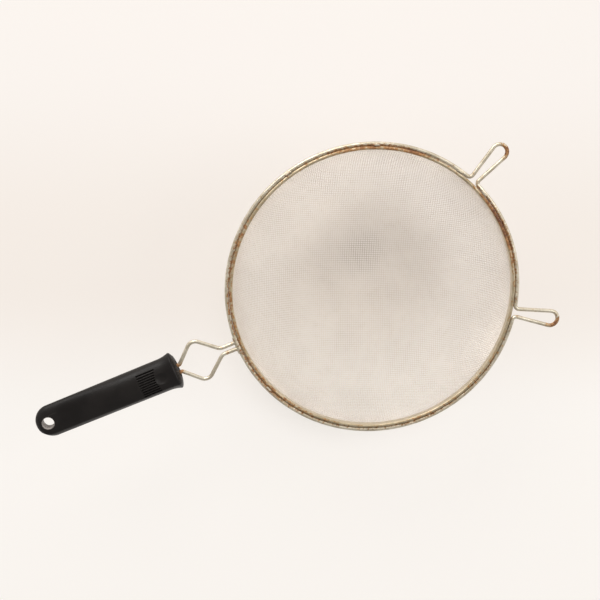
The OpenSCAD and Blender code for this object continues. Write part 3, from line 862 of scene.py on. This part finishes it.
def make_stage():
    """A pale floor. What the camera sees of it is part a pale glow and part its lit surface, and under
    the bowl more the lit surface, so that the bowl's own shade shows through the cloth. The glow holds
    painted shade: it is brighter at the photograph's bottom and top than across its middle."""
    s = Shader("stage_floor")
    co = s.coords()
    up = -Vector(CAM_DOWN)
    height = s.dot(co, (up.x, up.y, 0.0))
    # painted shade: the glow is darker in a band across the photograph's middle, as on a curved backdrop
    low = s.mix(s.ramp(height, -0.010, -0.120), (0.908, 0.835, 0.77), (1.0, 0.96, 0.915))
    tone = s.mix(s.ramp(height, 0.020, 0.150), low, (0.95, 0.895, 0.85))
    bsdf = s.node("BsdfDiffuse", Color=(0.91, 0.87, 0.83))
    glow = s.node("Emission", Color=tone, Strength=1.0)
    path = s.node("LightPath")
    seen = s.math("MAXIMUM", path.outputs["Is Camera Ray"], path.outputs["Is Glossy Ray"])
    seen = s.math("MAXIMUM", seen, path.outputs["Is Transmission Ray"])
    foot = s.distance(co, (*SHADE_FOOT, FLOOR_Z * MM))
    bowl = s.distance(co, (*SHADE_BOWL, FLOOR_Z * MM))
    share = s.math("ADD", s.ramp(foot, 0.005, 0.035, 0.50, 0.30), s.ramp(bowl, 0.080, 0.128, 0.0, 0.48))
    share = s.math("MULTIPLY", seen, share)
    mix = s.node("MixShader", i0=share, i1=bsdf.outputs[0], i2=glow.outputs[0])
    s.t.links.new(mix.outputs[0], s.out.inputs[0])
    pts = [(FLOOR_R * math.cos(math.radians(a)), FLOOR_R * math.sin(math.radians(a)), FLOOR_Z)
           for a in range(0, 360, 6)]
    n = len(pts)
    faces = [[i, (i + 1) % n, n] for i in range(n)]
    floor = make_object("stage_floor", pts + [(0, 0, FLOOR_Z)], faces, s.mat)


def make_world():
    w = bpy.data.worlds.new("studio")
    bpy.context.scene.world = w
    w.use_nodes = True
    t = w.node_tree
    t.nodes.clear()
    out = t.nodes.new("ShaderNodeOutputWorld")
    lit, seen, mix, path = (t.nodes.new("ShaderNode" + k) for k in
                            ("Background", "Background", "MixShader", "LightPath"))
    co, sep, ramp = (t.nodes.new("ShaderNode" + k) for k in ("TexCoord", "VectorMath", "MapRange"))
    # brighter towards the top of the photograph, darker round the camera
    sep.operation = "DOT_PRODUCT"
    sep.inputs[1].default_value = tuple(-Vector(CAM_DOWN))
    t.links.new(co.outputs["Generated"], sep.inputs[0])
    ramp.inputs[1].default_value, ramp.inputs[2].default_value = -0.9, 0.9
    ramp.inputs[3].default_value, ramp.inputs[4].default_value = SKY_LOW, SKY_HIGH
    t.links.new(sep.outputs["Value"], ramp.inputs[0])
    behind, dim, both = (t.nodes.new("ShaderNode" + k) for k in ("VectorMath", "MapRange", "Math"))
    behind.operation = "DOT_PRODUCT"
    behind.inputs[1].default_value = tuple(-Vector(CAM_FORWARD))
    t.links.new(co.outputs["Generated"], behind.inputs[0])
    dim.interpolation_type = "SMOOTHSTEP"
    for i, value in ((1, 0.62), (2, 0.97), (3, 1.0), (4, SKY_BEHIND_CAMERA)):
        dim.inputs[i].default_value = value
    t.links.new(behind.outputs["Value"], dim.inputs[0])
    both.operation = "MULTIPLY"
    t.links.new(ramp.outputs[0], both.inputs[0])
    t.links.new(dim.outputs[0], both.inputs[1])
    lit.inputs[0].default_value = (1.0, 0.985, 0.965, 1)
    t.links.new(both.outputs[0], lit.inputs[1])
    seen.inputs[0].default_value = (0.955, 0.91, 0.875, 1)
    seen.inputs[1].default_value = 1.0
    t.links.new(path.outputs["Is Camera Ray"], mix.inputs[0])
    t.links.new(lit.outputs[0], mix.inputs[1])
    t.links.new(seen.outputs[0], mix.inputs[2])
    t.links.new(mix.outputs[0], out.inputs[0])


def softbox(name, parts, distance, size, power):
    data = bpy.data.lights.new(name, "AREA")
    data.shape = "RECTANGLE"
    data.size, data.size_y = size
    data.energy = power
    data.color = (1.0, 0.985, 0.96)
    ob = bpy.data.objects.new(name, data)
    right, up, back = Vector(CAM_RIGHT), -Vector(CAM_DOWN), -Vector(CAM_FORWARD)
    d = (right * parts[0] + up * parts[1] + back * parts[2]).normalized()
    ob.location = d * distance
    ob.rotation_euler = (-d).to_track_quat("-Z", "Y").to_euler()
    bpy.context.scene.collection.objects.link(ob)


def make_light():
    softbox("key", KEY_FROM, KEY_AWAY, KEY_SIZE, KEY_W)
    softbox("fill", FILL_FROM, FILL_AWAY, FILL_SIZE, FILL_W)


# Build
make_frame_wire()
make_rim()
soft_copy("rim_welds", "rim_welds_beads", BEAD_VOXEL, BEAD_ROUGH, weld_mat)
soft_copy("neck_weld", "neck_solder", NECK_VOXEL, NECK_ROUGH, weld_mat)
make_grip()

U, V = drape(WIRES_PER_HALF)
for family in (0, 1):
    verts, faces = cloth_wires(U, V, family)
    # two pieces per family, so that no single mesh is very large
    cuts = [0, len(faces) // 2, len(faces)]
    for part in (0, 1):
        f = faces[cuts[part]:cuts[part + 1]]
        ids, inv = np.unique(f, return_inverse=True)
        ob = make_object("cloth_%s_%d" % ("warp" if family == 0 else "weft", part + 1),
                         verts[ids], inv.reshape(-1, 4)[:, ::-1], cloth_mat)
        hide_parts("mesh_bowl")
        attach(ob, "root")

for name, mat in (("rim_core_wire", rim_mat), ("handle_core", core_mat)):
    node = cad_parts[name]
    node.data.materials.clear()
    node.data.materials.append(mat)

make_stage()
make_world()
make_light()
bpy.context.scene.view_settings.view_transform = "Standard"
